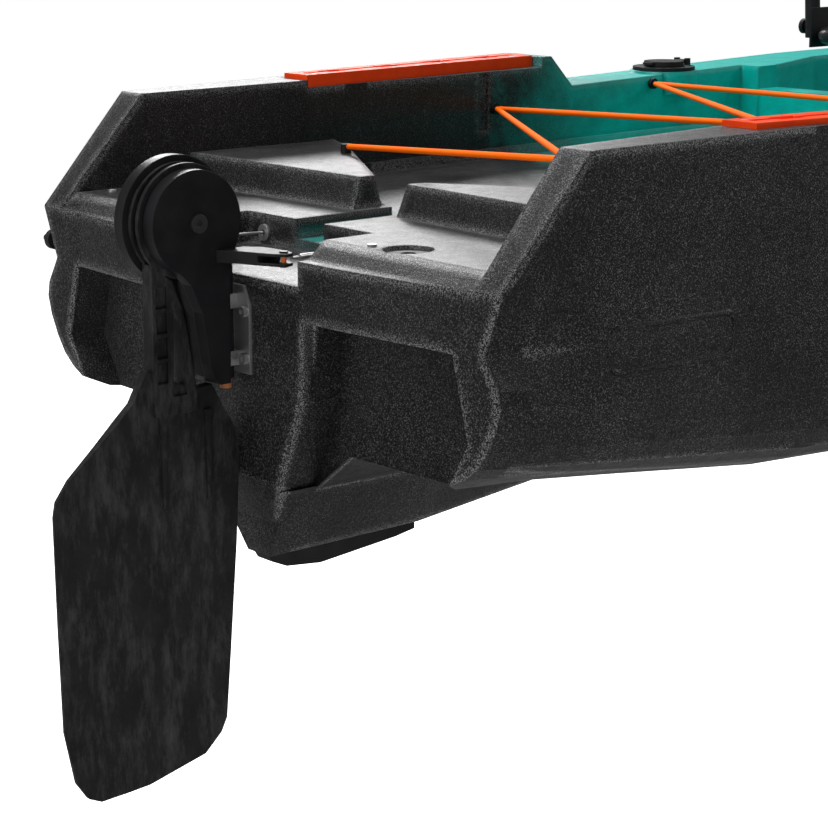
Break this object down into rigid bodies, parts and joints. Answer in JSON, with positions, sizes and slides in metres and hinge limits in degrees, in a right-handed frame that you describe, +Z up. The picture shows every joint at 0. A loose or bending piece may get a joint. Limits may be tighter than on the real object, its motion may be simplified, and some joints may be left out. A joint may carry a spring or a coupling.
{
  "type": "pedal boat",
  "caption": "Sit-on-top pedal kayak with raised stern gunwales, kick-up stern rudder, cargo well with shock cord, sling seat, drop-in pedal propeller drive and bow hatch.",
  "frame": {"origin": "on the flat of the keel amidships, on the centre plane", "axes": "+X to the bow, +Y to port, +Z up"},
  "size_m": [3.869, 0.94, 1.234],
  "materials": {
    "hull_black": "orange-peel moulded polyethylene, fading to teal forward",
    "black_plastic": "satin",
    "blade_plastic": "satin, dusty",
    "orange_rail": "satin orange-red",
    "orange_cord": "woven sleeve",
    "stainless": "brushed",
    "copper_cap": "dull copper brown",
    "aluminium": "anodised",
    "black_tube": "black anodised",
    "sling": "mesh sling",
    "rubber": "matt",
    "foam": "textured foam"
  },
  "bodies": {
    "hull": {"hull_stern_shell": "hull_black", "hull_bow_shell": "hull_black", "hull_stern_deck": "hull_black", "hull_tank_well": "hull_black", "hull_cockpit_floor": "hull_black", "keel_skid_plate": "black_plastic", "drain_plug": "rubber", "gear_rail_port": "orange_rail", "gear_rail_starboard": "orange_rail", "rail_screws": "stainless", "deck_screws": "stainless", "scupper_strainers": "black_plastic", "tank_bungee": "orange_cord", "bungee_hooks": "black_plastic", "bow_handle": "rubber", "hatch_hinge": "black_plastic", "transom_bracket": "stainless", "bracket_bolts": "stainless", "hinge_pin": "stainless", "hinge_pin_cap": "copper_cap", "cable_eyelets": "stainless", "seat_tracks": "aluminium", "drive_dock": "black_plastic", "steering_base": "black_plastic", "floor_hatch_ring": "black_plastic", "foot_mats": "foam", "steering_cable_port": "stainless", "rod_holder_port": "black_plastic", "gunwale_track_port": "aluminium", "steering_cable_starboard": "stainless", "rod_holder_starboard": "black_plastic", "gunwale_track_starboard": "aluminium"},
    "rudder_head": {"rudder_head_core": "black_plastic", "rudder_head_starboard": "black_plastic", "rudder_head_port": "black_plastic", "tiller_arm": "black_plastic", "cable_pins": "stainless", "kick_up_pivot_bolt": "stainless"},
    "rudder_blade": {"rudder_blade": "blade_plastic"},
    "steering_handle": {"steering_handle": "black_plastic"},
    "seat": {"seat_base_frame": "black_tube", "seat_feet": "black_plastic", "seat_sling": "sling", "recline_clamps": "black_plastic"},
    "seat_back": {"seat_back_frame": "black_tube", "seat_back_sling": "sling"},
    "drive": {"drive_housing": "black_plastic", "drive_leg": "aluminium"},
    "crank": {"crank_axle": "stainless", "crank_arm_port": "aluminium", "crank_arm_starboard": "aluminium"},
    "pedal_port": {"pedal_port": "black_plastic"},
    "pedal_starboard": {"pedal_starboard": "black_plastic"},
    "drive_shaft": {"drive_shaft": "stainless"},
    "propeller": {"prop_shaft": "stainless", "propeller": "black_plastic"},
    "hatch_lid": {"hatch_lid": "black_plastic"},
    "floor_hatch_lid": {"floor_hatch_lid": "black_plastic"},
    "rod_cap_port": {"rod_holder_cap_port": "rubber"},
    "rod_cap_starboard": {"rod_holder_cap_starboard": "rubber"}
  },
  "joints": [
    {"name": "rudder_steer", "type": "hinge", "parent": "hull", "child": "rudder_head", "pos_m": [-1.855, 0, 0.215], "axis": [0, 0, 1], "range_deg": [-35, 35], "deforming": ["steering_cable_port", "steering_cable_starboard"]},
    {"name": "rudder_kick_up", "type": "hinge", "parent": "rudder_head", "child": "rudder_blade", "pos_m": [-1.902, 0, 0.318], "axis": [0, 1, 0], "range_deg": [0, 160]},
    {"name": "steering_turn", "type": "hinge", "parent": "hull", "child": "steering_handle", "pos_m": [-0.18, 0.412, 0.415], "axis": [0, 0, 1], "range_deg": [-35, 35]},
    {"name": "seat_slide", "type": "slide", "parent": "hull", "child": "seat", "axis": [1, 0, 0], "range_m": [0, 0.12]},
    {"name": "seat_recline", "type": "hinge", "parent": "seat", "child": "seat_back", "pos_m": [-0.71, 0, 0.435], "axis": [0, 1, 0], "range_deg": [-15, 70]},
    {"name": "drive_lift", "type": "slide", "parent": "hull", "child": "drive", "axis": [0, 0, 1], "range_m": [0, 0.45]},
    {"name": "crank_spin", "type": "hinge", "parent": "drive", "child": "crank", "pos_m": [0.47, 0, 0.405], "axis": [0, 1, 0], "continuous": true},
    {"name": "pedal_port_spin", "type": "hinge", "parent": "crank", "child": "pedal_port", "pos_m": [0.62, 0.165, 0.405], "axis": [0, 1, 0], "continuous": true},
    {"name": "pedal_starboard_spin", "type": "hinge", "parent": "crank", "child": "pedal_starboard", "pos_m": [0.32, -0.165, 0.405], "axis": [0, 1, 0], "continuous": true},
    {"name": "drive_shaft_spin", "type": "hinge", "parent": "drive", "child": "drive_shaft", "pos_m": [0.47, 0, 0.285], "axis": [0, 0, 1], "continuous": true},
    {"name": "propeller_spin", "type": "hinge", "parent": "drive", "child": "propeller", "pos_m": [0.342, 0, -0.235], "axis": [1, 0, 0], "continuous": true},
    {"name": "bow_hatch_open", "type": "hinge", "parent": "hull", "child": "hatch_lid", "pos_m": [1.144, 0, 0.459], "axis": [0, -1, 0], "range_deg": [0, 100]},
    {"name": "floor_hatch_turn", "type": "hinge", "parent": "hull", "child": "floor_hatch_lid", "pos_m": [0.075, 0, 0.165], "axis": [0, 0, 1], "continuous": true},
    {"name": "rod_cap_port_open", "type": "hinge", "parent": "hull", "child": "rod_cap_port", "pos_m": [-0.7985, 0.383, 0.3845], "axis": [0, 1, 0], "range_deg": [0, 110]},
    {"name": "rod_cap_starboard_open", "type": "hinge", "parent": "hull", "child": "rod_cap_starboard", "pos_m": [-0.7985, -0.383, 0.3845], "axis": [0, 1, 0], "range_deg": [0, 110]}
  ],
  "couplings": [
    {"joint": "steering_turn", "follows": "rudder_steer", "ratio": 1},
    {"joint": "pedal_port_spin", "follows": "crank_spin", "ratio": -1},
    {"joint": "pedal_starboard_spin", "follows": "crank_spin", "ratio": -1},
    {"joint": "drive_shaft_spin", "follows": "crank_spin", "ratio": 3},
    {"joint": "propeller_spin", "follows": "crank_spin", "ratio": 8}
  ]
}
